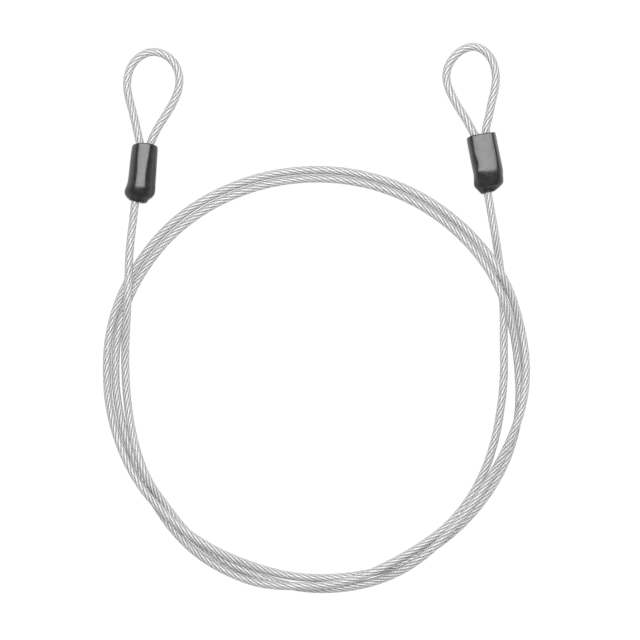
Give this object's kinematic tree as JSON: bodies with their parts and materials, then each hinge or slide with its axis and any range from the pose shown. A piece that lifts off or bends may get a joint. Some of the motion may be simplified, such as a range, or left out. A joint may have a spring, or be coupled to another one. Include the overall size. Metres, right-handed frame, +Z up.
{
  "type": "cable lock",
  "caption": "Looped security cable: clear-coated steel wire rope with a crimped eye and a black vinyl end cap at each end, lying in a loose flat coil, for use with a padlock.",
  "frame": {"origin": "middle of the whole outline, on the surface the coil lies on", "axes": "+Z up from the surface, +Y from the coil towards the two eyes, +X towards the right eye"},
  "size_m": [0.1317, 0.1691, 0.0059],
  "materials": {
    "coated_cable": "clear glossy vinyl over twisted steel wire, which shows through it",
    "clear_coat": "clear glossy extruded vinyl, slightly grey",
    "steel_rope": "bright galvanised wires twisted into strands",
    "end_cap": "black dipped vinyl, satin, with soft edges",
    "ferrule": "plain aluminium with pressed crimp bands"
  },
  "bodies": {
    "cable_assembly": {"cable_coil": "coated_cable", "lead_coat_left": "clear_coat", "lead_coat_right": "clear_coat", "lead_rope_left": "steel_rope", "lead_rope_right": "steel_rope", "eye_coat_left": "clear_coat", "eye_coat_right": "clear_coat", "eye_rope_left": "steel_rope", "eye_rope_right": "steel_rope", "ferrule_left": "ferrule", "ferrule_right": "ferrule"},
    "left_cap": {"cap_left": "end_cap"},
    "right_cap": {"cap_right": "end_cap"}
  },
  "joints": [
    {"name": "left_cap_slide", "type": "slide", "parent": "cable_assembly", "child": "left_cap", "axis": [-0.1147, -0.9934, 0], "range_m": [0, 0.009]},
    {"name": "right_cap_slide", "type": "slide", "parent": "cable_assembly", "child": "right_cap", "axis": [0.1762, -0.9844, 0], "range_m": [0, 0.009]}
  ]
}
